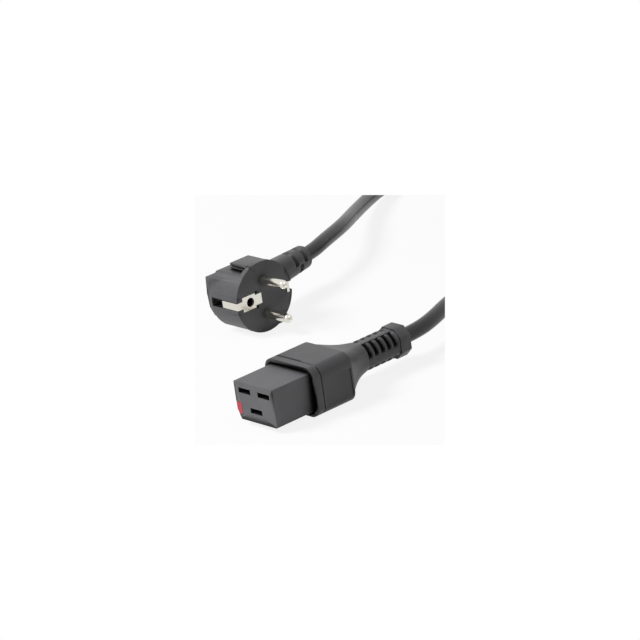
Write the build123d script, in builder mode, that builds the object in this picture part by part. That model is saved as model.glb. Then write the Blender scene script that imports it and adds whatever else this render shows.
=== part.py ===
from build123d import *
import math
import os

os.makedirs("parts", exist_ok=True)

# Locking power cord: a C19 connector with a red release slide, a 16 A angled plug
# with earth clips and earth socket, and 1.8 m of round three-core cord between them.
# Millimetres, +Z up, floor at Z = 0. The connector's nose faces -Y and its cord leaves
# at +Y. The origin lies on the floor under the middle of the connector.

# Cord
cord_diameter = 8.3
core_diameter = 2.9
core_side_offset = 1.75
core_high_offset = 1.0
core_low_offset = 1.9
jacket_in_connector = 30.0
jacket_in_plug = 22.0

# Connector as a whole
connector_length = 100.0
collar_width = 37.0
collar_height = 26.4
collar_radius = 6.0
collar_front = 24.5
collar_back = 50.0
collar_back_rounding = 0.8
lip_wall = 1.9
lip_recess = 3.2
groove_depth_in_collar = 0.5
groove_width = 0.7
groove_place = 28.5
slit_width = 1.6
slit_depth = 1.7
slit_left = -15.0
slit_right = 4.0
panel_recess = 0.45
panel_front = 30.4
panel_back = 48.6
panel_low = -11.0
panel_high = 5.5

# Nose: the contact carrier that enters the inlet
nose_width = 29.0
nose_height = 20.3
nose_radius = 0.9
nose_length = 33.0
blade_width = 8.0
blade_height = 2.0
blade_room = 0.35
blade_pitch = 14.2
line_row_height = 5.6
earth_row_height = -4.1
front_wall = 4.0
contact_wall = 0.9
contact_clearance = 0.2
contact_front = 5.0
contact_fork = 19.0
contact_base = 6.0
crimp_radius = 1.9
retainer_width = 20.4
retainer_height = 17.0
retainer_thickness = 3.0

# Release slide, in the lower left corner of the nose
slide_inner = 10.7
slide_top = -1.1
slide_bottom = -7.4
slide_clearance = 0.2
slide_block_length = 16.0
slide_travel = 3.0
slide_inset = 0.15
relief_top = -5.0
relief_foot = -12.0
bar_width = 2.2
bar_height = 2.8
pad_length = 9.5
pad_height = 5.8
pad_inset = 0.3
pad_rib_pitch = 1.9
pad_rib_depth = 0.5
pad_ribs = 4

# Lock plate that grips the inlet's earth blade, its pin and the slide's return spring
plate_thickness = 1.0
plate_place = 9.4
plate_height = 7.0
plate_end = -12.0
plate_step = -6.5
plate_tab_low = -5.2
plate_tab_high = -1.4
plate_slot_room = 0.4
lock_room_front = 7.7
lock_room_back = 14.2
lock_room_clearance = 0.3
pin_place = 7.2
pivot_radius = 0.75
pivot_clearance = 0.05
pivot_seat = 1.1
eye_radius = 1.5
notch_room = 0.3
notch_half_length = 1.2
spring_wire_radius = 0.2
spring_radius = 0.85
spring_length = 11.0
spring_turns = 6.5

# Boot and strain relief behind the collar
flare_sections = [(50.0, 34.6, 24.2, 5.8), (53.5, 30.5, 22.4, 6.4), (58.5, 24.6, 19.4, 6.6),
                  (64.0, 19.6, 17.0, 6.5), (70.0, 16.2, 15.3, 6.3)]
relief_width = 16.0
relief_height = 15.1
relief_radius = 6.3
block_length = 7.5
block_width = 17.0
block_height = 16.2
block_chamfer = 4.2
cord_cover = 0.5
relief_slots = 5
relief_slot_pitch = 4.4
relief_slot_length = 2.5
relief_slot_first = 70.4
relief_slot_reach = 15.0
relief_slot_turns = ((3.0, 66.0), (92.0, 328.0))

# Plug: place of its face on the floor plan, and its moulding
plug_x = -99.6
plug_y = 46.7
plug_radius = 19.5
plug_depth = 24.0
plug_flange = 3.0
plug_flat = 15.2
plug_back_rounding = 3.5
wing_front = 8.0
wing_root = [(0.0, 12.0), (-14.0, 12.0), (-15.5, 4.0), (-15.3, -4.0), (-13.5, -9.0), (-11.0, -11.0), (0.0, -11.0)]
wing_outline = [(0.0, 13.2), (-18.5, 13.2), (-19.1, 4.0), (-18.4, -4.0), (-16.0, -9.5), (-12.0, -12.5), (0.0, -12.5)]
grip_back = 15.5
grip_top = 18.8
grip_left = -7.5
grip_right = 5.5
low_grip_left = 2.0
low_grip_right = 13.0
grip_groove_depth = 0.9
grip_groove_width = 0.9
grip_groove_heights = (15.4, 17.0)
arm_tilt = 11.8
arm_end_along = 52.5
arm_end_behind = 27.5
arm_sections = [(0.0, 20.6, 14.0, 5.0), (11.0, 17.4, 14.0, 5.5), (20.0, 15.4, 14.0, 6.0),
                (29.0, 14.4, 13.8, 6.3), (38.0, 13.6, 13.4, 6.2), (47.0, 12.9, 12.9, 6.1)]
arm_length = arm_sections[-1][0]
boot_slot_places = (33.2, 41.7)
boot_slot_low_place = 37.4
boot_slot_width = 3.0
boot_slot_floor = 5.3
boot_slot_reach = 10.0

# Plug: pins, earth parts and the bridge that holds the pins
plug_pin_radius = 2.4
plug_pin_length = 19.0
plug_pin_pitch = 19.0
plug_pin_root = 14.0
plug_pin_shank = 1.75
pin_tip_hole_radius = 0.95
pin_tip_hole_depth = 2.0
bridge_front = 3.0
bridge_thickness = 7.0
bridge_width = 12.0
bridge_height = 26.0
earth_place = -10.0
earth_hole_radius = 2.5
sleeve_wall = 0.7
sleeve_length = 17.0
strip_thickness = 0.9
strip_width = 4.0
strip_room = 0.35
face_plate_left = -15.3
face_plate_step = -6.4
face_plate_right = -2.0
face_plate_height = 8.0
face_plate_small_height = 5.8
plate_pocket_radius = 0.9
plate_pocket_place = (-5.4, 4.1)
inner_strip_place = 2.0
left_strip_face = 19.25
left_strip_length = 12.0
left_pocket_length = 8.0
left_pocket_depth = 4.2
right_strip_face = 16.4
right_strip_length = 14.0
right_strip_rise = 0.6
right_head_height = 5.8
right_head_width = 1.7

# Coil of the cord that is put away, and its tie
coil_x = -91.0
coil_y = 258.0
coil_mean_radius = 46.0
coil_lift = 0.8
layer_settling = 0.2
web_width = 4.0
tie_width = 5.0
tie_thickness = 0.6
tie_gap = 0.1
tie_angle = 270.0
tie_tail = 7.0

# Derived places
face_y = -connector_length / 2
axis_z = collar_height / 2
cord_radius = cord_diameter / 2
core_radius = core_diameter / 2
slot_width = blade_width + 2 * blade_room
slot_height = blade_height + 2 * blade_room
line_places = [(-blade_pitch / 2, line_row_height), (blade_pitch / 2, line_row_height)]
earth_blade_place = (0.0, earth_row_height)
contact_width = blade_width + 0.4
contact_height = blade_height + 2 * contact_wall
chamber_width = contact_width + 2 * contact_clearance
chamber_height = contact_height + 2 * contact_clearance
contact_back = contact_front + contact_fork + contact_base
crimp_back = nose_length + retainer_thickness
channel_edge = -(slide_inner - slide_clearance)
channel_top = slide_top + slide_clearance
channel_bottom = slide_bottom - slide_clearance
window_front = nose_length + 1.0
pad_front = window_front + slide_clearance
pad_back = pad_front + pad_length
window_back = pad_back + slide_travel + slide_clearance
bar_outer = -(slide_inner + 0.1 + bar_width)
bar_low = slide_top - bar_height
block_front = connector_length - block_length
plug_z = plug_radius


def section_plane(depth):
    """Plane across the connector, that far behind its face, looking at the face."""
    return Plane(origin=(0, face_y + depth, axis_z), x_dir=(1, 0, 0), z_dir=(0, -1, 0))


def plug_plane(level):
    """Plane parallel to the plug's face, that far in front of it; local x runs to the cord, local y up."""
    return Plane(origin=(plug_x + level, plug_y, plug_z), x_dir=(0, 1, 0), z_dir=(1, 0, 0))


def plug_point(along, up, out):
    """World place of a point given along the face, up it and out of it."""
    return (plug_x + out, plug_y + along, plug_z + up)


def corner_radii(points):
    """Arc radius at each corner of a route: 0.45 of its shorter run over the tangent of half the turn."""
    radii = []
    for before, corner, after in zip(points, points[1:], points[2:]):
        run_in = Vector(*corner) - Vector(*before)
        run_out = Vector(*after) - Vector(*corner)
        half_turn = math.radians(run_in.get_angle(run_out) / 2)
        radii.append(0.45 * min(run_in.length, run_out.length) / math.tan(half_turn))
    return radii


def tube(points, radii, radius):
    """Round solid that follows straight runs joined by arcs."""
    with BuildPart() as piece:
        with BuildLine() as path:
            FilletPolyline(*points, radius=radii)
        with BuildSketch(Plane(origin=path.line @ 0, z_dir=path.line % 0)):
            Circle(radius)
        sweep()
    return piece, sum(edge.length for edge in path.edges())


def box_between(plane, left, right, low, high, length, mode=Mode.ADD):
    """Block on a plane, from its left, right, low and high edges, raised by a length."""
    with BuildSketch(plane) as outline:
        with Locations(((left + right) / 2, (low + high) / 2)):
            Rectangle(right - left, high - low)
    extrude(outline.sketch, amount=length, mode=mode)


def sector(first_turn, last_turn):
    """Corners of a sector round the strain relief's axis, between two angles in degrees."""
    turns = [math.radians(first_turn + (last_turn - first_turn) * step / 4) for step in range(5)]
    return [(0, 0)] + [(relief_slot_reach * math.cos(turn), relief_slot_reach * math.sin(turn)) for turn in turns]


# Nose: moulded contact carrier with three blade slots, contact chambers behind them,
# the lock plate's room and the release slide's channel
with BuildPart() as connector_nose:
    with BuildSketch(section_plane(nose_length)):
        RectangleRounded(nose_width, nose_height, nose_radius)
    extrude(amount=nose_length)
    with BuildSketch(section_plane(front_wall)):
        with Locations(*line_places):
            Rectangle(slot_width, slot_height)
    extrude(amount=front_wall, mode=Mode.SUBTRACT)
    with BuildSketch(section_plane(lock_room_front)):
        with Locations(earth_blade_place):
            Rectangle(slot_width, slot_height)
    extrude(amount=lock_room_front, mode=Mode.SUBTRACT)
    with BuildSketch(section_plane(nose_length)):
        with Locations(*line_places):
            Rectangle(chamber_width, chamber_height)
    extrude(amount=nose_length - front_wall, mode=Mode.SUBTRACT)
    with BuildSketch(section_plane(nose_length)):
        with Locations(earth_blade_place):
            Rectangle(chamber_width, chamber_height)
    extrude(amount=nose_length - lock_room_back, mode=Mode.SUBTRACT)
    lock_room_half = plate_height / 2 + lock_room_clearance
    box_between(section_plane(lock_room_back), channel_edge, pin_place + eye_radius + lock_room_clearance,
                earth_row_height - lock_room_half, earth_row_height + lock_room_half,
                lock_room_back - lock_room_front, Mode.SUBTRACT)
    open_channel = slide_block_length + slide_travel + slide_clearance
    box_between(section_plane(open_channel), -nose_width, channel_edge, channel_bottom, channel_top,
                open_channel, Mode.SUBTRACT)
    spring_wall = slide_block_length + spring_length
    box_between(section_plane(spring_wall), bar_outer - slide_clearance, channel_edge, channel_bottom,
                channel_top, spring_wall - open_channel, Mode.SUBTRACT)
    box_between(section_plane(nose_length), bar_outer - slide_clearance, channel_edge,
                bar_low - slide_clearance, channel_top, nose_length - spring_wall, Mode.SUBTRACT)
    with BuildSketch(section_plane(open_channel)):
        with BuildLine():
            Polyline((-nose_width / 2, relief_top), (-nose_width, relief_top), (-nose_width, -nose_height),
                     (relief_foot, -nose_height), (relief_foot, -nose_height / 2), close=True)
        make_face()
    extrude(amount=open_channel, mode=Mode.SUBTRACT)
    pivot_low = earth_row_height - lock_room_half - pivot_seat
    pivot_length = 2 * (lock_room_half + pivot_seat)
    pivot_plane = Plane(origin=(pin_place, face_y + plate_place, axis_z + pivot_low))
    with BuildSketch(pivot_plane):
        Circle(pivot_radius)
    extrude(amount=pivot_length, mode=Mode.SUBTRACT)
connector_nose.part.label = "connector_nose"
export_step(connector_nose.part, "parts/connector_nose.step")

# Retainer: plate that closes the back of the nose round the crimp barrels
with BuildPart() as contact_retainer:
    with BuildSketch(section_plane(crimp_back)):
        Rectangle(retainer_width, retainer_height)
        with Locations(*line_places, earth_blade_place):
            Circle(crimp_radius, mode=Mode.SUBTRACT)
    extrude(amount=retainer_thickness)
contact_retainer.part.label = "contact_retainer"
export_step(contact_retainer.part, "parts/contact_retainer.step")


def fork_contact(place, front):
    """Brass contact: two leaves that take the blade, a closed base and a crimp barrel."""
    with BuildPart() as contact:
        with BuildSketch(section_plane(contact_back)):
            with Locations(place):
                Rectangle(contact_width, contact_height)
        extrude(amount=contact_back - front)
        with BuildSketch(section_plane(contact_back - contact_base)):
            with Locations(place):
                Rectangle(contact_width, blade_height)
        extrude(amount=contact_back - contact_base - front, mode=Mode.SUBTRACT)
        with BuildSketch(section_plane(crimp_back)):
            with Locations(place):
                Circle(crimp_radius)
        extrude(amount=crimp_back - contact_back)
    return contact


live_contact = fork_contact(line_places[0], contact_front)
live_contact.part.label = "live_contact"
export_step(live_contact.part, "parts/live_contact.step")

neutral_contact = fork_contact(line_places[1], contact_front)
neutral_contact.part.label = "neutral_contact"
export_step(neutral_contact.part, "parts/neutral_contact.step")

earth_contact = fork_contact(earth_blade_place, lock_room_back + contact_clearance)
earth_contact.part.label = "earth_contact"
export_step(earth_contact.part, "parts/earth_contact.step")

# Release slide: red block at the nose's corner, a bar inside and a ribbed thumb pad
relief_slope = (relief_foot + nose_width / 2) / (nose_height / 2 + relief_top)
with BuildPart() as release_slide:
    block_outer = -nose_width / 2 + slide_inset
    block_outer_bottom = -nose_width / 2 + (relief_top - slide_bottom) * relief_slope + slide_inset
    with BuildSketch(section_plane(slide_block_length)):
        with BuildLine():
            Polyline((-slide_inner, slide_top), (block_outer, slide_top), (block_outer, relief_top),
                     (block_outer_bottom, slide_bottom), (-slide_inner, slide_bottom), close=True)
        make_face()
    extrude(amount=slide_block_length)
    box_between(section_plane(plate_place + notch_half_length), plate_end - notch_room, -slide_inner + 1,
                plate_tab_low - notch_room, slide_top + 1, 2 * notch_half_length, Mode.SUBTRACT)
    box_between(section_plane(pad_back), bar_outer, bar_outer + bar_width, bar_low, slide_top,
                pad_back - slide_block_length)
    pad_outer = -(collar_width / 2 - pad_inset)
    box_between(section_plane(pad_back), pad_outer, bar_outer, slide_top - pad_height, slide_top, pad_length)
    for rib in range(pad_ribs):
        rib_plane = section_plane(pad_front + pad_rib_pitch * (rib + 1) + pad_rib_depth / 2)
        box_between(rib_plane, pad_outer - 1, pad_outer + pad_rib_depth, slide_top - pad_height - 1,
                    slide_top + 1, pad_rib_depth, Mode.SUBTRACT)
release_slide.part.label = "release_slide"
export_step(release_slide.part, "parts/release_slide.step")

# Lock plate: steel plate with a slot for the earth blade, an eye round its pivot pin
# at one end and its other end in the slide's notch
with BuildPart() as lock_plate:
    box_between(section_plane(plate_place + plate_thickness / 2), plate_step, pin_place,
                earth_row_height - plate_height / 2, earth_row_height + plate_height / 2, plate_thickness)
    box_between(section_plane(plate_place + plate_thickness / 2), plate_end, plate_step,
                plate_tab_low, plate_tab_high, plate_thickness)
    plate_low = axis_z + earth_row_height - plate_height / 2
    eye_plane = Plane(origin=(pin_place, face_y + plate_place, plate_low))
    with BuildSketch(eye_plane):
        Circle(eye_radius)
    extrude(amount=plate_height)
    with BuildSketch(eye_plane):
        Circle(pivot_radius + pivot_clearance)
    extrude(amount=plate_height, mode=Mode.SUBTRACT)
    with BuildSketch(section_plane(plate_place + plate_thickness)):
        with Locations(earth_blade_place):
            Rectangle(blade_width + 2 * plate_slot_room, blade_height + plate_slot_room)
    extrude(amount=2 * plate_thickness, mode=Mode.SUBTRACT)
lock_plate.part.label = "lock_plate"
export_step(lock_plate.part, "parts/lock_plate.step")

# Pivot pin, pressed into the nose above and below the lock plate
with BuildPart() as lock_pivot_pin:
    with BuildSketch(pivot_plane):
        Circle(pivot_radius)
    extrude(amount=pivot_length)
lock_pivot_pin.part.label = "lock_pivot_pin"
export_step(lock_pivot_pin.part, "parts/lock_pivot_pin.step")

# Return spring between the slide's block and the wall behind it
spring_start = (bar_outer + bar_width / 2, face_y + slide_block_length + spring_wire_radius,
                axis_z + (bar_low + slide_bottom) / 2)
with BuildPart() as lock_spring:
    coil_height = spring_length - 2 * spring_wire_radius
    with BuildLine() as spring_line:
        Helix(pitch=coil_height / spring_turns, height=coil_height, radius=spring_radius,
              center=spring_start, direction=(0, 1, 0))
    with BuildSketch(Plane(origin=spring_line.line @ 0, z_dir=spring_line.line % 0)):
        Circle(spring_wire_radius)
    sweep(is_frenet=True)
lock_spring.part.label = "lock_spring"
export_step(lock_spring.part, "parts/lock_spring.step")

# Cores in the connector, from the crimp barrels to the end of the cord's jacket
jacket_front_y = connector_length / 2 - jacket_in_connector
core_straight = 3.0


def connector_core(place, bundle_place):
    """One insulated core, bent twice between its barrel and its place in the cord."""
    start_x, start_z = place
    end_x, end_z = bundle_place
    points = [(start_x, face_y + crimp_back, axis_z + start_z),
              (start_x, face_y + crimp_back + core_straight, axis_z + start_z),
              (end_x, jacket_front_y - core_straight, axis_z + end_z),
              (end_x, jacket_front_y, axis_z + end_z)]
    return tube(points, corner_radii(points), core_radius)[0]


live_core = connector_core(line_places[0], (-core_side_offset, core_high_offset))
live_core.part.label = "live_core"
export_step(live_core.part, "parts/live_core.step")

neutral_core = connector_core(line_places[1], (core_side_offset, core_high_offset))
neutral_core.part.label = "neutral_core"
export_step(neutral_core.part, "parts/neutral_core.step")

earth_core = connector_core(earth_blade_place, (0.0, -core_low_offset))
earth_core.part.label = "earth_core"
export_step(earth_core.part, "parts/earth_core.step")

# End of the cord inside the connector's strain relief
with BuildPart() as cord_in_connector:
    with BuildSketch(section_plane(connector_length)):
        Circle(cord_radius)
    extrude(amount=jacket_in_connector)
cord_in_connector.part.label = "cord_in_connector"
export_step(cord_in_connector.part, "parts/cord_in_connector.step")

# Hood: soft moulding over the back of the nose, with collar, flared boot,
# slotted strain relief and end block in one piece
with BuildPart() as connector_hood:
    with BuildSketch(section_plane(collar_back)):
        RectangleRounded(collar_width, collar_height, collar_radius)
    extrude(amount=collar_back - collar_front)
    fillet(connector_hood.faces().sort_by(Axis.Y)[-1].edges(), collar_back_rounding)
    for depth, width, height, radius in flare_sections:
        with BuildSketch(section_plane(depth)):
            RectangleRounded(width, height, radius)
    loft()
    with BuildSketch(section_plane(block_front)):
        RectangleRounded(relief_width, relief_height, relief_radius)
    extrude(amount=block_front - flare_sections[-1][0])
    with BuildSketch(section_plane(connector_length)) as block_outline:
        Rectangle(block_width, block_height)
        chamfer(block_outline.vertices(), block_chamfer)
    extrude(amount=block_length)
    chamfer(connector_hood.faces().sort_by(Axis.Y)[-1].edges(), 0.6)
    # front recess round the nose, then the seats of the nose and its retainer
    with BuildSketch(section_plane(collar_front + lip_recess)):
        RectangleRounded(collar_width - 2 * lip_wall, collar_height - 2 * lip_wall, collar_radius - lip_wall)
    extrude(amount=lip_recess, mode=Mode.SUBTRACT)
    with BuildSketch(section_plane(nose_length)):
        RectangleRounded(nose_width, nose_height, nose_radius)
    extrude(amount=nose_length, mode=Mode.SUBTRACT)
    with BuildSketch(section_plane(crimp_back)):
        Rectangle(retainer_width, retainer_height)
    extrude(amount=retainer_thickness, mode=Mode.SUBTRACT)
    # groove round the collar and the deeper slit on its top
    with BuildSketch(section_plane(groove_place + groove_width)):
        RectangleRounded(collar_width + 2, collar_height + 2, collar_radius + 1)
        RectangleRounded(collar_width - 2 * groove_depth_in_collar, collar_height - 2 * groove_depth_in_collar,
                         collar_radius - groove_depth_in_collar, mode=Mode.SUBTRACT)
    extrude(amount=groove_width, mode=Mode.SUBTRACT)
    box_between(section_plane(groove_place + slit_width), slit_left, slit_right,
                collar_height / 2 - slit_depth, collar_height / 2 + 1, slit_width, Mode.SUBTRACT)
    # flat sunk panel on each side of the collar
    for inner, outer in ((-collar_width, -collar_width / 2 + panel_recess),
                         (collar_width / 2 - panel_recess, collar_width)):
        box_between(section_plane(panel_back), inner, outer, panel_low, panel_high,
                    panel_back - panel_front, Mode.SUBTRACT)
    # the thumb pad's window and the way of the slide's bar behind the nose
    box_between(section_plane(window_back), -collar_width, channel_edge, slide_top - pad_height - slide_clearance,
                channel_top, window_back - window_front, Mode.SUBTRACT)
    box_between(section_plane(window_front), bar_outer - slide_clearance, channel_edge,
                bar_low - slide_clearance, channel_top, window_front - nose_length, Mode.SUBTRACT)
    # slots of the strain relief: a short one at the upper right and a long one opposite
    for index in range(relief_slots):
        slot_end = relief_slot_first + relief_slot_pitch * index + relief_slot_length
        for first_turn, last_turn in relief_slot_turns:
            with BuildSketch(section_plane(slot_end)):
                Polygon(*sector(first_turn, last_turn), align=None)
                Circle(cord_radius + cord_cover, mode=Mode.SUBTRACT)
            extrude(amount=relief_slot_length, mode=Mode.SUBTRACT)
    add(live_core.part, mode=Mode.SUBTRACT)
    add(neutral_core.part, mode=Mode.SUBTRACT)
    add(earth_core.part, mode=Mode.SUBTRACT)
    add(cord_in_connector.part, mode=Mode.SUBTRACT)
connector_hood.part.label = "connector_hood"
export_step(connector_hood.part, "parts/connector_hood.step")

# Plug pins: solid brass with a domed and centred tip, rooted in the bridge
dome_start = plug_pin_length - plug_pin_radius


def plug_pin(height):
    """Pin at one height on the face, turned with a round tip."""
    with BuildPart() as pin:
        with BuildSketch(Plane(origin=plug_point(0, height, 0), x_dir=(1, 0, 0), z_dir=(0, 1, 0))):
            with BuildLine():
                Polyline((dome_start, plug_pin_radius), (0, plug_pin_radius), (0, plug_pin_shank),
                         (-plug_pin_root, plug_pin_shank), (-plug_pin_root, 0), (plug_pin_length, 0))
                RadiusArc((plug_pin_length, 0), (dome_start, plug_pin_radius), -plug_pin_radius)
            make_face()
        revolve(axis=Axis(plug_point(0, height, 0), (1, 0, 0)))
        with BuildSketch(plug_plane(plug_pin_length - pin_tip_hole_depth)):
            with Locations((0, height)):
                Circle(pin_tip_hole_radius)
        extrude(amount=pin_tip_hole_depth, mode=Mode.SUBTRACT)
    return pin


plug_pin_upper = plug_pin(plug_pin_pitch / 2)
plug_pin_upper.part.label = "plug_pin_upper"
export_step(plug_pin_upper.part, "parts/plug_pin_upper.step")

plug_pin_lower = plug_pin(-plug_pin_pitch / 2)
plug_pin_lower.part.label = "plug_pin_lower"
export_step(plug_pin_lower.part, "parts/plug_pin_lower.step")

# Bridge: hard block inside the plug that holds both pins at their pitch
with BuildPart() as plug_bridge:
    with BuildSketch(plug_plane(-bridge_front - bridge_thickness)):
        Rectangle(bridge_width, bridge_height)
        with Locations((0, plug_pin_pitch / 2), (0, -plug_pin_pitch / 2)):
            Circle(plug_pin_shank, mode=Mode.SUBTRACT)
    extrude(amount=bridge_thickness)
plug_bridge.part.label = "plug_bridge"
export_step(plug_bridge.part, "parts/plug_bridge.step")

# Earth sleeve: female contact behind the hole in the face plate
with BuildPart() as earth_sleeve:
    with BuildSketch(plug_plane(-strip_thickness - sleeve_length)):
        with Locations((earth_place, 0)):
            Circle(earth_hole_radius + sleeve_wall)
            Circle(earth_hole_radius, mode=Mode.SUBTRACT)
    extrude(amount=sleeve_length)
earth_sleeve.part.label = "earth_sleeve"
export_step(earth_sleeve.part, "parts/earth_sleeve.step")

# Earth bracket: one folded strip that makes the left clip, the face plate with the
# earth hole, the link under the face and the right clip
half_strip = strip_width / 2
with BuildPart() as earth_bracket:
    box_between(plug_plane(-strip_thickness), face_plate_left, face_plate_step, -face_plate_height / 2,
                face_plate_height / 2, strip_thickness)
    box_between(plug_plane(-strip_thickness), face_plate_step, face_plate_right,
                -face_plate_small_height / 2, face_plate_small_height / 2, strip_thickness)
    box_between(plug_plane(-strip_thickness), -left_strip_face, face_plate_left, -half_strip, half_strip,
                strip_thickness)
    box_between(plug_plane(-left_strip_length), -left_strip_face, -left_strip_face + strip_thickness,
                -half_strip, half_strip, left_strip_length)
    box_between(plug_plane(-left_strip_length), -left_strip_face, -left_strip_face + left_pocket_depth,
                -half_strip, half_strip, strip_thickness)
    box_between(plug_plane(-inner_strip_place - strip_thickness), face_plate_right - strip_thickness,
                face_plate_right, -half_strip, half_strip, inner_strip_place + strip_thickness)
    box_between(plug_plane(-inner_strip_place - strip_thickness), face_plate_right, right_strip_face,
                -half_strip, half_strip, strip_thickness)
    box_between(plug_plane(-right_strip_length), right_strip_face - strip_thickness, right_strip_face,
                -half_strip, half_strip, right_strip_length + right_strip_rise)
    box_between(plug_plane(0), right_strip_face - strip_thickness, right_strip_face - strip_thickness + right_head_width,
                -right_head_height / 2, right_head_height / 2, right_strip_rise)
    with BuildSketch(plug_plane(-strip_thickness)):
        with Locations((earth_place, 0)):
            Circle(earth_hole_radius)
    extrude(amount=strip_thickness, mode=Mode.SUBTRACT)
earth_bracket.part.label = "earth_bracket"
export_step(earth_bracket.part, "parts/earth_bracket.step")

# The boot's axis: from its outer end back into the plug, tilted away from the face
tilt = math.radians(arm_tilt)
arm_direction = Vector(-math.sin(tilt), math.cos(tilt), 0)
arm_end = Vector(*plug_point(arm_end_along, 0, -arm_end_behind))


def arm_plane(distance):
    """Plane across the boot, that far from its root, looking along the cord."""
    place = arm_end + arm_direction * (distance - arm_length)
    return Plane(origin=place, x_dir=(0, 0, 1), z_dir=arm_direction)


# End of the cord inside the plug's boot
with BuildPart() as cord_in_plug:
    with BuildSketch(arm_plane(arm_length - jacket_in_plug)):
        Circle(cord_radius)
    extrude(amount=jacket_in_plug)
cord_in_plug.part.label = "cord_in_plug"
export_step(cord_in_plug.part, "parts/cord_in_plug.step")

# Cores in the plug: from each pin's root and from the earth strip to the jacket's end
jacket_plane = arm_plane(arm_length - jacket_in_plug)
core_leaving = arm_plane(arm_length - jacket_in_plug - 4.0)
pin_core_back = plug_pin_root + 5.0
earth_core_along = 9.5
earth_core_back = 15.0


def plug_core(points, up, out):
    """One insulated core that ends at its place in the cord, up and out from the cord's centre."""
    ends = [core_leaving.from_local_coords((up, out, 0)), jacket_plane.from_local_coords((up, out, 0))]
    route = [Vector(*point) for point in points] + ends
    corners = [(place.X, place.Y, place.Z) for place in route]
    return tube(corners, corner_radii(corners), core_radius)[0]


upper = plug_pin_pitch / 2
plug_live_core = plug_core([plug_point(0, upper, -plug_pin_root), plug_point(0, upper, -pin_core_back)],
                           core_side_offset, -core_high_offset)
plug_live_core.part.label = "plug_live_core"
export_step(plug_live_core.part, "parts/plug_live_core.step")

plug_neutral_core = plug_core([plug_point(0, -upper, -plug_pin_root), plug_point(0, -upper, -pin_core_back)],
                              -core_side_offset, -core_high_offset)
plug_neutral_core.part.label = "plug_neutral_core"
export_step(plug_neutral_core.part, "parts/plug_neutral_core.step")

plug_earth_core = plug_core([plug_point(earth_core_along, 0, -inner_strip_place - strip_thickness),
                             plug_point(earth_core_along, 0, -earth_core_back)], 0.0, core_low_offset)
plug_earth_core.part.label = "plug_earth_core"
export_step(plug_earth_core.part, "parts/plug_earth_core.step")

# Plug body: one soft moulding over the bridge, with face, grips, boot and its slots
with BuildPart() as plug_body:
    with BuildSketch(plug_plane(-plug_depth)):
        Circle(plug_radius)
    extrude(amount=plug_depth)
    for low, high in ((plug_flat, 2 * plug_radius), (-2 * plug_radius, -plug_flat)):
        box_between(plug_plane(-plug_depth), -2 * plug_radius, 2 * plug_radius, low, high,
                    plug_depth - plug_flange, Mode.SUBTRACT)
    fillet(plug_body.faces().sort_by(Axis.X)[0].edges(), plug_back_rounding)
    for distance, corners in ((wing_front, wing_root), (plug_depth, wing_outline)):
        with BuildSketch(plug_plane(-distance)):
            Polygon(*corners, align=None)
    loft()
    for left, right, low, high in ((grip_left, grip_right, plug_flat - 1, grip_top),
                                   (low_grip_left, low_grip_right, -plug_radius, 1 - plug_flat)):
        box_between(plug_plane(-grip_back), left, right, low, high, grip_back - plug_flange)
    for left, side in ((grip_left, 1), (low_grip_left, -1)):
        for height in grip_groove_heights:
            centre = side * height
            box_between(plug_plane(-grip_back), left - 1, left + grip_groove_depth,
                        centre - grip_groove_width / 2, centre + grip_groove_width / 2,
                        grip_back - plug_flange, Mode.SUBTRACT)
    for distance, width, height, radius in arm_sections:
        with BuildSketch(arm_plane(distance)):
            RectangleRounded(width, height, radius)
    loft()
    # slots of the boot: two over its upper half, one between them on the lower half
    for place, side in [(place, 1) for place in boot_slot_places] + [(boot_slot_low_place, -1)]:
        with BuildSketch(arm_plane(place - boot_slot_width / 2)):
            Circle(boot_slot_reach)
            Circle(boot_slot_floor, mode=Mode.SUBTRACT)
            with Locations((-side * boot_slot_reach, 0)):
                Rectangle(2 * boot_slot_reach, 2 * boot_slot_reach, mode=Mode.SUBTRACT)
        extrude(amount=boot_slot_width, mode=Mode.SUBTRACT)
    # channel and pocket of the left clip, notch of the right clip, pockets beside the face plate
    room = half_strip + strip_room
    box_between(plug_plane(-left_strip_length), -plug_radius - 1, -left_strip_face + strip_thickness,
                -room, room, left_strip_length, Mode.SUBTRACT)
    box_between(plug_plane(-left_strip_length - left_pocket_length), -plug_radius - 1,
                -left_strip_face + left_pocket_depth, -room, room, left_pocket_length + strip_thickness, Mode.SUBTRACT)
    box_between(plug_plane(-right_strip_length), right_strip_face - strip_thickness, plug_radius + 1,
                -room, room, right_strip_length, Mode.SUBTRACT)
    with BuildSketch(plug_plane(-plug_flange / 2)):
        with Locations(plate_pocket_place, (plate_pocket_place[0], -plate_pocket_place[1])):
            Circle(plate_pocket_radius)
    extrude(amount=plug_flange / 2, mode=Mode.SUBTRACT)
    # everything that is moulded in
    with BuildSketch(plug_plane(-strip_thickness - sleeve_length)):
        with Locations((earth_place, 0)):
            Circle(earth_hole_radius + sleeve_wall)
    extrude(amount=sleeve_length, mode=Mode.SUBTRACT)
    for piece in (plug_pin_upper, plug_pin_lower, plug_bridge, earth_bracket, plug_live_core,
                  plug_neutral_core, plug_earth_core, cord_in_plug):
        add(piece.part, mode=Mode.SUBTRACT)
    box_between(plug_plane(-strip_thickness), earth_place - earth_hole_radius, earth_place + earth_hole_radius,
                -earth_hole_radius, earth_hole_radius, strip_thickness, Mode.SUBTRACT)
plug_body.part.label = "plug_body"
export_step(plug_body.part, "parts/plug_body.step")

# Route of the free cord at the connector, chosen by hand: out of the strain relief,
# down to the floor and round to the coil's right side
connector_route = [
    (0.0, 50.0, 13.2), (0.0, 60.0, 13.2), (-2.4, 74.0, 13.7), (-12.6, 98.0, 14.0), (-26.4, 128.0, 10.2),
    (-36.0, 160.0, 6.8), (-41.2, 195.0, 4.8), (-41.1, 228.0, 4.7), (-40.85, 258.0, 4.95),
]

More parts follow.
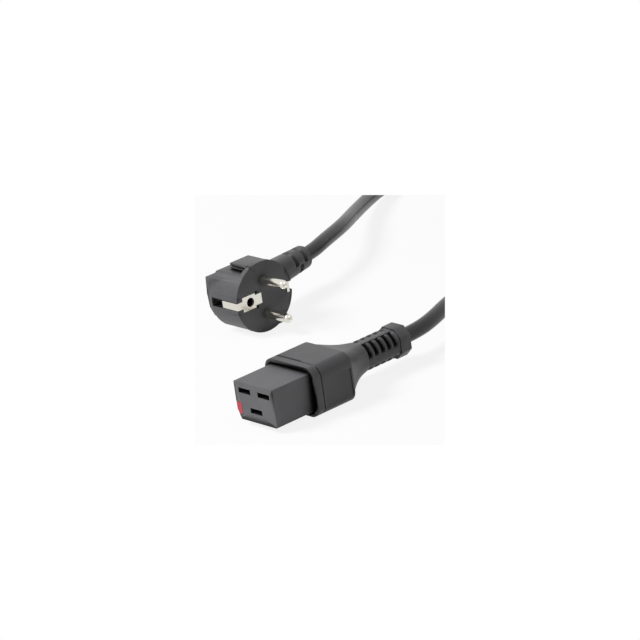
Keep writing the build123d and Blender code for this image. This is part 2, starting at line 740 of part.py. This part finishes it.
# Route of the free cord at the plug, chosen by hand: out of the boot, down to the
# floor, round in a wide bend and up onto the coil's top turn
plug_route = [
    (-127.1, 99.2, 19.5), (-129.15, 109.0, 19.5), (-134.2, 121.5, 20.0), (-147.8, 148.4, 18.2),
    (-169.2, 176.0, 12.8), (-188.8, 203.8, 8.4), (-204.0, 231.0, 6.0), (-207.0, 261.0, 4.6),
    (-197.0, 286.0, 6.4), (-176.0, 302.5, 11.8), (-148.0, 308.2, 18.6), (-119.5, 308.4, 21.7),
    (-91.0, 308.15, 21.55),
]

connector_radii = corner_radii(connector_route)
cord_at_connector, connector_run = tube(connector_route, connector_radii, cord_radius)
cord_at_connector.part.label = "cord_at_connector"
export_step(cord_at_connector.part, "parts/cord_at_connector.step")

plug_radii = corner_radii(plug_route)
cord_at_plug, plug_run = tube(plug_route, plug_radii, cord_radius)
cord_at_plug.part.label = "cord_at_plug"
export_step(cord_at_plug.part, "parts/cord_at_plug.step")

# Coil of the put-away length: two turns wide and two high, with most of a fifth turn on top
coil_axis = Axis((coil_x, coil_y, 0), (0, 0, 1))
with BuildPart() as cord_coil:
    ring_plane = Plane(origin=(coil_x, coil_y, coil_lift), x_dir=(-1, 0, 0), z_dir=(0, 1, 0))
    with BuildSketch(ring_plane):
        with Locations((coil_mean_radius, cord_diameter - layer_settling / 2)):
            RectangleRounded(2 * cord_diameter, 2 * cord_diameter - layer_settling, 0.98 * cord_radius)
    revolve(axis=coil_axis)
    with BuildSketch(ring_plane):
        with Locations((coil_mean_radius + cord_radius, 2.5 * cord_diameter)):
            Circle(cord_radius)
        with Locations((coil_mean_radius + cord_radius, 2 * cord_diameter)):
            Rectangle(web_width, web_width)
    revolve(axis=coil_axis, revolution_arc=270)
cord_coil.part.label = "cord_coil"
export_step(cord_coil.part, "parts/cord_coil.step")

# Tie: flat twist tie round the coil's section, with its two twisted ends at the outside
turn = math.radians(tie_angle)
outward = Vector(math.cos(turn), math.sin(turn), 0)
along = Vector(-math.sin(turn), math.cos(turn), 0)
tie_middle = Vector(coil_x, coil_y, coil_lift + 1.5 * cord_diameter) + outward * coil_mean_radius
tie_plane = Plane(origin=tie_middle + along * (tie_width / 2), x_dir=outward, z_dir=-along)
turn_centres = [(-cord_radius, -cord_diameter), (cord_radius, -cord_diameter),
                (cord_radius, cord_diameter), (-cord_radius, 0)]
with BuildPart() as coil_tie:
    with BuildSketch(tie_plane):
        Polygon(*turn_centres, align=None)
        offset(amount=cord_radius + tie_gap + tie_thickness, kind=Kind.ARC)
    extrude(amount=tie_width)
    with BuildSketch(tie_plane):
        Polygon(*turn_centres, align=None)
        offset(amount=cord_radius + tie_gap, kind=Kind.ARC)
    extrude(amount=tie_width, mode=Mode.SUBTRACT)
    tail_start = tie_middle + outward * (cord_diameter + tie_gap + tie_thickness / 2)
    with BuildSketch(Plane(origin=tail_start, x_dir=along, z_dir=outward)):
        Circle(tie_width / 4)
    extrude(amount=tie_tail)
coil_tie.part.label = "coil_tie"
export_step(coil_tie.part, "parts/coil_tie.step")

cord_section = math.pi * cord_radius ** 2
print("connector route radii", [round(radius, 1) for radius in connector_radii])
print("plug route radii", [round(radius, 1) for radius in plug_radii])
print("connector tube", round(connector_run, 1), "volume ratio",
      round(cord_at_connector.part.volume / (cord_section * connector_run), 4))
print("plug tube", round(plug_run, 1), "volume ratio",
      round(cord_at_plug.part.volume / (cord_section * plug_run), 4))
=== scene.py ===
import math

import bmesh
import bpy
from mathutils import Matrix, Vector


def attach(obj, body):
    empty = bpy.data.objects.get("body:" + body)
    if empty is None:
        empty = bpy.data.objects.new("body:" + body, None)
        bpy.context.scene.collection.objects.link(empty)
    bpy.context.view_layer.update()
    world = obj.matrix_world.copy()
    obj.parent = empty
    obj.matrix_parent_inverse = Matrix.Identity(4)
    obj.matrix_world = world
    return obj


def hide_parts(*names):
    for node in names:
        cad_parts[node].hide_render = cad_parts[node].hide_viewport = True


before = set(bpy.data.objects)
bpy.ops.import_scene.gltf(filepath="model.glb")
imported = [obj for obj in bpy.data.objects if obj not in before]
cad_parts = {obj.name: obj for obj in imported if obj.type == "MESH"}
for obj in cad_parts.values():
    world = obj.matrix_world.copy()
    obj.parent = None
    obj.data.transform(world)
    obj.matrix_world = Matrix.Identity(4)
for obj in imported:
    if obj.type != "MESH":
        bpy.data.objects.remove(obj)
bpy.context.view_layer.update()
scene = bpy.context.scene
MM = 0.001

# Camera. A long lens, because the photograph's edges run parallel, on a camera that
# looks 20 degrees down past the connector's front right corner and leans 8 degrees.
# The photograph joins two shots about a quarter apart in scale; this view lies between.
view_azimuth = math.radians(50)
view_elevation = math.radians(20)
view_lean = math.radians(-8)
camera_place = Vector((1.2756, -1.0716, 0.6470))
lens = 200.0
sensor = 36.0
picture = 640

camera_data = bpy.data.cameras.new("camera")
camera_data.lens = lens
camera_data.sensor_width = sensor
camera_data.clip_start = 0.02
camera_data.clip_end = 50.0
camera = bpy.data.objects.new("camera", camera_data)
scene.collection.objects.link(camera)
camera.matrix_world = (
    Matrix.Translation(camera_place)
    @ Matrix.Rotation(view_azimuth, 4, "Z")
    @ Matrix.Rotation(math.pi / 2 - view_elevation, 4, "X")
    @ Matrix.Rotation(view_lean, 4, "Z")
)
scene.camera = camera


# The cord: round three-core flexible cord with a black PVC jacket, extruded, so it is
# smooth and has a soft shine along its length. One spline runs from the connector
# through the put-away coil to the plug.
def linear(colour):
    """Linear red, green, blue and alpha of an sRGB hex colour."""
    channels = [int(colour[place:place + 2], 16) / 255 for place in (1, 3, 5)]
    return [c / 12.92 if c <= 0.04045 else ((c + 0.055) / 1.055) ** 2.4 for c in channels] + [1.0]


def add_node(material, kind, inputs=None, **settings):
    """Adds a node with its settings and its inputs by name, each a value or a socket to link."""
    tree = material.node_tree
    node = tree.nodes.new(kind)
    for name, value in settings.items():
        setattr(node, name, value)
    for name, value in (inputs or {}).items():
        if isinstance(value, bpy.types.NodeSocket):
            tree.links.new(value, node.inputs[name])
        else:
            node.inputs[name].default_value = value
    return node


def new_material(name):
    """An empty node material."""
    material = bpy.data.materials.new(name)
    material.use_nodes = True
    material.node_tree.nodes.clear()
    return material


# Painted shade: ambient occlusion darkens the plastics' colour in slots and recesses, darkest where half or
# less of what surrounds a point is open, and plain where 0.88 is.
cloud_size = 14 * MM
shine_spread = 0.04
grain_strength = 0.6
painted_shade_reach = 6.0 * MM
painted_shade_full_at = 0.5
painted_shade_gone_at = 0.88
edge_samples = 6


def moulded_plastic(name, low, high, roughness, grain, grain_depth, edge, deepest_painted_shade=1.0):
    """Plastic from a mould: two near tones in slow clouds, painted shade that darkens the colour in deep
    slots and recesses, and a fine eroded grain.
    """
    material = new_material(name)
    place = add_node(material, "ShaderNodeTexCoord").outputs["Object"]
    cloud = add_node(material, "ShaderNodeTexNoise", {
        "Vector": place, "Scale": 1 / cloud_size, "Detail": 3.0})
    tone = add_node(material, "ShaderNodeValToRGB", {"Fac": cloud.outputs["Fac"]})
    tone.color_ramp.elements[0].position = 0.3
    tone.color_ramp.elements[0].color = linear(low)
    tone.color_ramp.elements[1].position = 0.7
    tone.color_ramp.elements[1].color = linear(high)
    # Painted shade: ambient occlusion scales the base colour down in slots and recesses, as far as the
    # deepest share.
    painted_shade_occlusion = add_node(material, "ShaderNodeAmbientOcclusion", {"Distance": painted_shade_reach}, samples=8)
    share = add_node(material, "ShaderNodeMapRange", {
        "Value": painted_shade_occlusion.outputs["AO"], "From Min": painted_shade_full_at, "From Max": painted_shade_gone_at,
        "To Min": deepest_painted_shade, "To Max": 1.0})
    tone_with_painted_shade = add_node(material, "ShaderNodeVectorMath", {
        0: tone.outputs["Color"], "Scale": share.outputs["Result"]}, operation="SCALE")
    eroded = add_node(material, "ShaderNodeTexNoise", {"Vector": place, "Scale": 1 / grain, "Detail": 2.0})
    shine = add_node(material, "ShaderNodeMapRange", {
        "Value": eroded.outputs["Fac"], "From Min": 0.3, "From Max": 0.7,
        "To Min": roughness - shine_spread, "To Max": roughness + shine_spread})
    rounded = add_node(material, "ShaderNodeBevel", {"Radius": edge}, samples=edge_samples)
    relief = add_node(material, "ShaderNodeBump", {
        "Height": eroded.outputs["Fac"], "Distance": grain_depth, "Strength": grain_strength,
        "Normal": rounded.outputs["Normal"]})
    surface = add_node(material, "ShaderNodeBsdfPrincipled", {
        "Base Color": tone_with_painted_shade.outputs["Vector"], "Roughness": shine.outputs["Result"],
        "IOR": 1.5, "Specular IOR Level": 0.3, "Normal": relief.outputs["Normal"]})
    add_node(material, "ShaderNodeOutputMaterial", {"Surface": surface.outputs["BSDF"]})
    return material


cord_diameter = 8.3 * MM
connector_exit = (0.0, 50.0, 13.2)
connector_route = [
    connector_exit, (0.0, 60.0, 13.2), (-2.4, 74.0, 13.7), (-12.6, 98.0, 14.0), (-26.4, 128.0, 10.2),
    (-36.0, 160.0, 6.8), (-41.2, 195.0, 4.8), (-41.1, 228.0, 4.7), (-40.85, 258.0, 4.95),
]
plug_route = [
    (-127.1, 99.2, 19.5), (-129.15, 109.0, 19.5), (-134.2, 121.5, 20.0), (-147.8, 148.4, 18.2),
    (-169.2, 176.0, 12.8), (-188.8, 203.8, 8.4), (-204.0, 231.0, 6.0), (-207.0, 261.0, 4.6),
    (-197.0, 286.0, 6.4), (-176.0, 302.5, 11.8), (-148.0, 308.2, 18.6), (-119.5, 308.4, 21.7),
    (-91.0, 308.15, 21.55),
]
coil_centre = (-91.0, 258.0)
outer_turn = 50.15
inner_turn = 41.85
layer_heights = (4.95, 13.25, 21.55)
points_in_turn = 20

# The coil starts at 0 degrees. At these angles along it the cord starts to move between
# the outer and inner turns, or up to the next layer. A move takes change_over degrees.
inward_at = 295
first_rise_at = 600
outward_at = 900
second_rise_at = 1200
change_over = 60
coil_end = 1530


def part_way(angle, start):
    """How far a change that starts at that angle has gone, from 0 to 1, slow at both ends."""
    step = min(max((angle - start) / change_over, 0.0), 1.0)
    return step * step * (3 - 2 * step)


def coil_point(angle):
    """Control point at an angle in degrees, a little outside the turn, because the spline runs inside it."""
    inside = part_way(angle, inward_at) - part_way(angle, outward_at)
    turn_radius = outer_turn + (inner_turn - outer_turn) * inside
    control_radius = turn_radius / math.cos(math.pi / points_in_turn)
    height = layer_heights[0]
    height += (layer_heights[1] - layer_heights[0]) * part_way(angle, first_rise_at)
    height += (layer_heights[2] - layer_heights[1]) * part_way(angle, second_rise_at)
    turn = math.radians(angle)
    across = coil_centre[0] + control_radius * math.cos(turn)
    along = coil_centre[1] + control_radius * math.sin(turn)
    return (across, along, height)


coil_step = 360 // points_in_turn
coil_points = [coil_point(angle) for angle in range(coil_step, coil_end, coil_step)]
cord_points = connector_route + coil_points + plug_route[::-1]

cord_curve = bpy.data.curves.new("cord_jacket", "CURVE")
cord_curve.dimensions = "3D"
cord_line = cord_curve.splines.new("NURBS")
cord_line.points.add(len(cord_points) - 1)
for control, point in zip(cord_line.points, cord_points):
    control.co = [value * MM for value in point] + [1.0]
cord_line.order_u = 3
cord_line.use_endpoint_u = True
cord_line.resolution_u = 8
cord_curve.bevel_depth = cord_diameter / 2
cord_curve.bevel_resolution = 14
cord_jacket = bpy.data.objects.new("cord_jacket", cord_curve)
scene.collection.objects.link(cord_jacket)
jacket_pvc = moulded_plastic("extruded_black_pvc", "#303032", "#363638", roughness=0.3, grain=0.9 * MM,
                             grain_depth=0.01 * MM, edge=0.0)
cord_curve.materials.append(jacket_pvc)
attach(cord_jacket, "cord_set")
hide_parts("cord_at_connector", "cord_coil", "cord_at_plug")
for node in ("cord_in_connector", "cord_in_plug"):
    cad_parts[node].data.materials.clear()
    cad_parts[node].data.materials.append(jacket_pvc)

# Tie round the coil: a flat black twist tie, a steel wire in a strip of polyethylene with
# its two ends twisted together outside. The strip is darker and duller than the cord.
tie_strip = moulded_plastic("twist_tie_polyethylene", "#1c1c1e", "#242426", roughness=0.38, grain=0.8 * MM,
                            grain_depth=0.03 * MM, edge=0.15 * MM)


def finish_node(name, material):
    """Gives a CAD node its finish."""
    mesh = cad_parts[name].data
    mesh.materials.clear()
    mesh.materials.append(material)


finish_node("coil_tie", tie_strip)


# Nose: the contact carrier, injection moulded in dark grey nylon with an eroded, satin
# face. Its corners are nearly sharp, and its three slots are open to the contacts.
def joined_copy(node, name, material, body="cord_set", crease=32):
    """A piece with a CAD node's own shape, its triangles joined so that round faces shade smooth."""
    shape = bmesh.new()
    shape.from_mesh(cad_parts[node].data)
    bmesh.ops.remove_doubles(shape, verts=shape.verts, dist=0.002 * MM)
    mesh = bpy.data.meshes.new(name)
    shape.to_mesh(mesh)
    shape.free()
    mesh.materials.clear()
    mesh.materials.append(material)
    mesh.polygons.foreach_set("material_index", [0] * len(mesh.polygons))
    mesh.shade_smooth()
    mesh.set_sharp_from_angle(angle=math.radians(crease))
    piece = bpy.data.objects.new(name, mesh)
    scene.collection.objects.link(piece)
    even = piece.modifiers.new("even_shading", "WEIGHTED_NORMAL")
    even.keep_sharp = True
    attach(piece, body)
    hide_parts(node)


# Painted shade: the nose, hood and plug colours go down to this share in their deepest slots and recesses.
painted_slot_shade = 0.02
nose_nylon = moulded_plastic("moulded_grey_nylon", "#5e5e60", "#656567", roughness=0.5, grain=0.35 * MM,
                             grain_depth=0.03 * MM, edge=0.35 * MM, deepest_painted_shade=painted_slot_shade)
joined_copy("connector_nose", "nose_carrier", nose_nylon)
finish_node("contact_retainer", nose_nylon)

# Hood: collar, flared neck, slotted strain relief and end block, moulded over the back
# of the nose in one piece of soft PVC, satin with a slight sheen on its rounded corners.
# The hood's colour carries painted shade in its slots and in the recess round the nose.
hood_pvc = moulded_plastic("overmoulded_grey_pvc", "#48484a", "#505052", roughness=0.42, grain=0.5 * MM,
                           grain_depth=0.03 * MM, edge=0.4 * MM, deepest_painted_shade=painted_slot_shade)
joined_copy("connector_hood", "hood_shell", hood_pvc)

# Release slide: red glossy nylon, moulded, at the nose's lower left corner with its
# thumb pad in the hood's window. It draws back to open the lock.
slide_nylon = moulded_plastic("moulded_red_nylon", "#b4404e", "#bc4a57", roughness=0.36, grain=0.5 * MM,
                              grain_depth=0.02 * MM, edge=0.25 * MM)
joined_copy("release_slide", "release_pull", slide_nylon, body="slide")


# Lock: a stamped spring steel plate that bites the inlet's earth blade, its pin, and the
# slide's return spring, all of plain steel that shows fine drawing marks.
mark_contrast = 0.25


def metal(name, colour, roughness, mark, edge):
    """Bare or plated metal: one colour, with fine marks that vary its shine and slightly rounded edges."""
    material = new_material(name)
    place = add_node(material, "ShaderNodeTexCoord").outputs["Object"]
    marks = add_node(material, "ShaderNodeTexNoise", {"Vector": place, "Scale": 1 / mark, "Detail": 4.0})
    shine = add_node(material, "ShaderNodeMapRange", {
        "Value": marks.outputs["Fac"], "From Min": 0.3, "From Max": 0.7,
        "To Min": roughness * (1 - mark_contrast), "To Max": roughness * (1 + mark_contrast)})
    rounded = add_node(material, "ShaderNodeBevel", {"Radius": edge}, samples=edge_samples)
    surface = add_node(material, "ShaderNodeBsdfPrincipled", {
        "Base Color": linear(colour), "Metallic": 1.0, "Roughness": shine.outputs["Result"],
        "Normal": rounded.outputs["Normal"]})
    add_node(material, "ShaderNodeOutputMaterial", {"Surface": surface.outputs["BSDF"]})
    return material


spring_steel = metal("drawn_spring_steel", "#b9b8b4", roughness=0.32, mark=0.6 * MM, edge=0.1 * MM)
joined_copy("lock_plate", "grip_plate", spring_steel, body="plate")
finish_node("lock_pivot_pin", spring_steel)
joined_copy("lock_spring", "return_spring", spring_steel)

# Contacts: forks of folded brass strip with a crimp barrel, behind the nose's slots.
# Rolled brass gives a warm, fairly bright shine, and only its edges show in the slots.
contact_brass = metal("rolled_contact_brass", "#c9a85c", roughness=0.3, mark=0.8 * MM, edge=0.1 * MM)
for node in ("live_contact", "neutral_contact", "earth_contact"):
    finish_node(node, contact_brass)

# Cores: brown, blue and green and yellow PVC insulation, extruded and glossy, laid from
# the contacts into the jacket at both ends of the cord.
core_finish = {"roughness": 0.35, "grain": 0.6 * MM, "grain_depth": 0.01 * MM, "edge": 0.05 * MM}
brown_pvc = moulded_plastic("extruded_brown_pvc", "#6a4630", "#704b34", **core_finish)
blue_pvc = moulded_plastic("extruded_blue_pvc", "#2f62b0", "#3468b6", **core_finish)
striped_pvc = moulded_plastic("extruded_green_yellow_pvc", "#4c9a35", "#d8c832", **core_finish)
for node, insulation in (("live_core", brown_pvc), ("plug_live_core", brown_pvc),
                         ("neutral_core", blue_pvc), ("plug_neutral_core", blue_pvc),
                         ("earth_core", striped_pvc), ("plug_earth_core", striped_pvc)):
    finish_node(node, insulation)

# Plug body: one moulding of soft PVC over the bridge and pins, round with flats, a wing
# at its back, grips above and below, and a slotted boot that leans away from the face.
# It is a little lighter and duller than the hood. The bridge is hidden inside it.
# The plug's colour carries painted shade in its slots and recesses.
plug_pvc = moulded_plastic("moulded_plug_pvc", "#505052", "#58585a", roughness=0.44, grain=0.5 * MM,
                           grain_depth=0.03 * MM, edge=0.4 * MM, deepest_painted_shade=painted_slot_shade)
joined_copy("plug_body", "plug_moulding", plug_pvc)
bridge_nylon = moulded_plastic("moulded_black_nylon", "#262628", "#2c2c2e", roughness=0.45, grain=0.4 * MM,
                               grain_depth=0.02 * MM, edge=0.2 * MM)
finish_node("plug_bridge", bridge_nylon)

# Pins and earth parts: turned pins and folded strip of brass with bright nickel plate.
# The plate is close to a mirror, so it shows the white surround, with faint marks.
nickel = metal("bright_nickel_plate", "#dcd9d0", roughness=0.16, mark=1.5 * MM, edge=0.25 * MM)
joined_copy("plug_pin_upper", "upper_pin", nickel)
joined_copy("plug_pin_lower", "lower_pin", nickel)
joined_copy("earth_bracket", "earth_strip", nickel)
joined_copy("earth_sleeve", "earth_socket", nickel)

# Studio: a wide pale floor, an even white surround that camera, mirror and glass rays see
# as white, and one large soft lamp from the upper left with a weaker one opposite.
floor_size = 12.0
surround_level = 0.12
floor_white_share = 0.86

floor_paint = new_material("white_studio_floor")
seen = add_node(floor_paint, "ShaderNodeLightPath")
either = add_node(floor_paint, "ShaderNodeMath", {
    0: seen.outputs["Is Camera Ray"], 1: seen.outputs["Is Glossy Ray"]}, operation="MAXIMUM")
white_share = add_node(floor_paint, "ShaderNodeMath", {
    0: either.outputs["Value"], 1: floor_white_share}, operation="MULTIPLY")
painted = add_node(floor_paint, "ShaderNodeBsdfDiffuse", {"Color": linear("#f4f4f4")})
glowing = add_node(floor_paint, "ShaderNodeEmission", {"Color": linear("#ffffff"), "Strength": 1.0})
floor_mix = add_node(floor_paint, "ShaderNodeMixShader", {
    0: white_share.outputs["Value"], 1: painted.outputs["BSDF"], 2: glowing.outputs["Emission"]})
add_node(floor_paint, "ShaderNodeOutputMaterial", {"Surface": floor_mix.outputs["Shader"]})

floor_shape = bmesh.new()
bmesh.ops.create_grid(floor_shape, x_segments=1, y_segments=1, size=floor_size / 2)
floor_mesh = bpy.data.meshes.new("studio_floor")
floor_shape.to_mesh(floor_mesh)
floor_shape.free()
floor_mesh.materials.append(floor_paint)
floor = bpy.data.objects.new("studio_floor", floor_mesh)
scene.collection.objects.link(floor)

world = bpy.data.worlds.new("studio")
scene.world = world
world.use_nodes = True
world.node_tree.nodes.clear()
world_path = add_node(world, "ShaderNodeLightPath")
seen_white = add_node(world, "ShaderNodeMath", {
    0: world_path.outputs["Is Camera Ray"], 1: world_path.outputs["Is Glossy Ray"]}, operation="MAXIMUM")
seen_any = add_node(world, "ShaderNodeMath", {
    0: seen_white.outputs["Value"], 1: world_path.outputs["Is Transmission Ray"]}, operation="MAXIMUM")
soft_surround = add_node(world, "ShaderNodeBackground", {
    "Color": linear("#ffffff"), "Strength": surround_level})
white_surround = add_node(world, "ShaderNodeBackground", {"Color": linear("#ffffff"), "Strength": 1.0})
world_mix = add_node(world, "ShaderNodeMixShader", {
    0: seen_any.outputs["Value"], 1: soft_surround.outputs["Background"],
    2: white_surround.outputs["Background"]})
add_node(world, "ShaderNodeOutputWorld", {"Surface": world_mix.outputs["Shader"]})


def soft_lamp(name, place, aim, size, power):
    """A square area lamp at a place, turned to shine at a point."""
    lamp_data = bpy.data.lights.new(name, "AREA")
    lamp_data.size = size
    lamp_data.energy = power
    lamp = bpy.data.objects.new(name, lamp_data)
    scene.collection.objects.link(lamp)
    direction = Vector(aim) - Vector(place)
    lamp.matrix_world = Matrix.Translation(place) @ direction.to_track_quat("-Z", "Y").to_matrix().to_4x4()


object_middle = (-0.05, 0.03, 0.02)
soft_lamp("key_lamp", place=(-0.9, -1.2, 1.7), aim=object_middle, size=0.8, power=52.0)
soft_lamp("fill_lamp", place=(1.2, 0.6, 1.6), aim=object_middle, size=1.2, power=3.0)

# Mat: the photograph is a small picture with a wide white border. This white card with a
# square window stands still in front of the rest camera and gives the same border, as a
# mat does on a print. Only camera rays see it, and it isn't part of the object.
picture_left, picture_right = 195, 445
picture_top, picture_bottom = 195, 445
mat_distance = 0.1
mat_half_width = 340


def on_mat(column, row):
    """World place on the card that the rest camera sees at a column and row of its 640 pixel picture."""
    across = (column - picture / 2) / picture * sensor / lens * mat_distance
    up = (picture / 2 - row) / picture * sensor / lens * mat_distance
    return camera.matrix_world @ Vector((across, up, -mat_distance))


mat_shape = bmesh.new()
middle_pixel = picture / 2
rims = []
for left, right, top, bottom in (
        (picture_left, picture_right, picture_top, picture_bottom),
        (middle_pixel - mat_half_width, middle_pixel + mat_half_width,
         middle_pixel - mat_half_width, middle_pixel + mat_half_width)):
    corners = [mat_shape.verts.new(on_mat(column, row))
               for column, row in ((left, top), (right, top), (right, bottom), (left, bottom))]
    rims += [mat_shape.edges.new((corners[i], corners[i - 1])) for i in range(4)]
bmesh.ops.bridge_loops(mat_shape, edges=rims)
mat_mesh = bpy.data.meshes.new("white_mat")
mat_shape.to_mesh(mat_mesh)
mat_shape.free()
mat_card = new_material("white_mat_card")
card_white = add_node(mat_card, "ShaderNodeEmission", {"Color": linear("#ffffff"), "Strength": 1.0})
add_node(mat_card, "ShaderNodeOutputMaterial", {"Surface": card_white.outputs["Emission"]})
mat_mesh.materials.append(mat_card)
white_mat = bpy.data.objects.new("white_mat", mat_mesh)
scene.collection.objects.link(white_mat)
white_mat.visible_diffuse = False
white_mat.visible_glossy = False
white_mat.visible_transmission = False
white_mat.visible_shadow = False

scene.view_settings.view_transform = "Standard"
